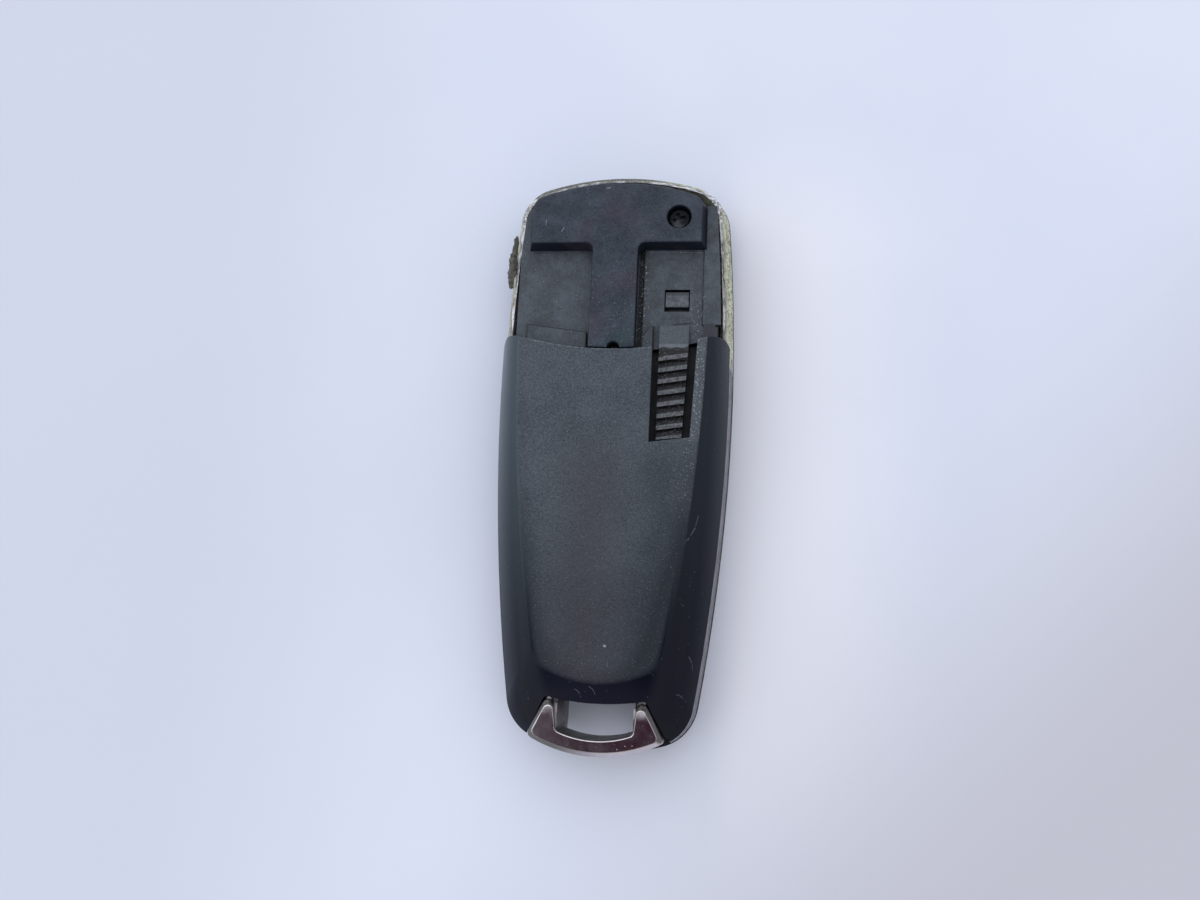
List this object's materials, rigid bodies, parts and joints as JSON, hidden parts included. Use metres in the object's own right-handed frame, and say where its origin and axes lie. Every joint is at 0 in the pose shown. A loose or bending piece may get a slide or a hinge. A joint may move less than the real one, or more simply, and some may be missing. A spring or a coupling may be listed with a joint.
{
  "type": "car remote key",
  "caption": "Slot-in car remote key with push buttons, a ridged release slider and a pull-out emergency key on a chromed loop.",
  "frame": {"origin": "centre of the outline, on the plane of the button face that the key lies on", "axes": "+X across the width, +Y towards the end with the T-shaped plate, +Z out of the back"},
  "size_m": [0.033, 0.0812, 0.0132],
  "materials": {
    "cover_black": "fine-grained matte plate with glossy sloping bands, dusty and scratched",
    "body_black": "fine-grained matte moulding, dusty",
    "slider_black": "worn matte moulding",
    "shell_black": "smooth gloss",
    "button_black": "soft satin",
    "worn_chrome": "metallised plastic, peeled and corroded",
    "loop_chrome": "polished, lightly scratched",
    "blade_steel": "milled",
    "screw_steel": "dark, dirty",
    "spring_steel": "bright",
    "switch_white": "satin",
    "switch_black": "satin",
    "silicone_grey": "soft",
    "board_green": "solder mask",
    "cell_steel": "bright",
    "contact_nickel": "nickel plated",
    "ferrite": "sintered",
    "copper_wire": "enamelled winding"
  },
  "bodies": {
    "housing": {"rear_cover": "cover_black", "inner_body": "body_black", "top_plate": "body_black", "plate_screw": "screw_steel", "catch_block": "body_black", "slider_spring": "spring_steel", "trim_frame": "worn_chrome", "front_shell": "shell_black", "lock_switch": "switch_black", "unlock_switch": "switch_black", "boot_switch": "switch_black", "button_mat": "silicone_grey", "circuit_board": "board_green", "controller_chip": "switch_black", "crystal": "spring_steel", "battery": "cell_steel", "battery_clip": "contact_nickel", "battery_contact": "contact_nickel", "antenna_core": "ferrite", "antenna_coil": "copper_wire"},
    "release": {"release_slider": "slider_black"},
    "emergency_key": {"key_loop": "loop_chrome", "emergency_blade": "blade_steel", "blade_pins": "spring_steel"},
    "lock_key": {"lock_button": "button_black", "lock_plunger": "switch_white"},
    "unlock_key": {"unlock_button": "button_black", "unlock_plunger": "switch_white"},
    "boot_key": {"boot_button": "button_black", "boot_plunger": "switch_white"}
  },
  "joints": [
    {"name": "emergency_key_slide", "type": "slide", "parent": "housing", "child": "emergency_key", "axis": [0, -1, 0], "range_m": [0, 0.042]},
    {"name": "release_slide", "type": "slide", "parent": "housing", "child": "release", "axis": [0, 1, 0], "range_m": [0, 0.002], "stiffness_N_per_m": 200, "deforming": ["slider_spring"]},
    {"name": "lock_press", "type": "slide", "parent": "housing", "child": "lock_key", "axis": [0, 0, 1], "range_m": [0, 0.0004], "stiffness_N_per_m": 400},
    {"name": "unlock_press", "type": "slide", "parent": "housing", "child": "unlock_key", "axis": [0, 0, 1], "range_m": [0, 0.0004], "stiffness_N_per_m": 400},
    {"name": "boot_press", "type": "slide", "parent": "housing", "child": "boot_key", "axis": [0, 0, 1], "range_m": [0, 0.0004], "stiffness_N_per_m": 400}
  ]
}
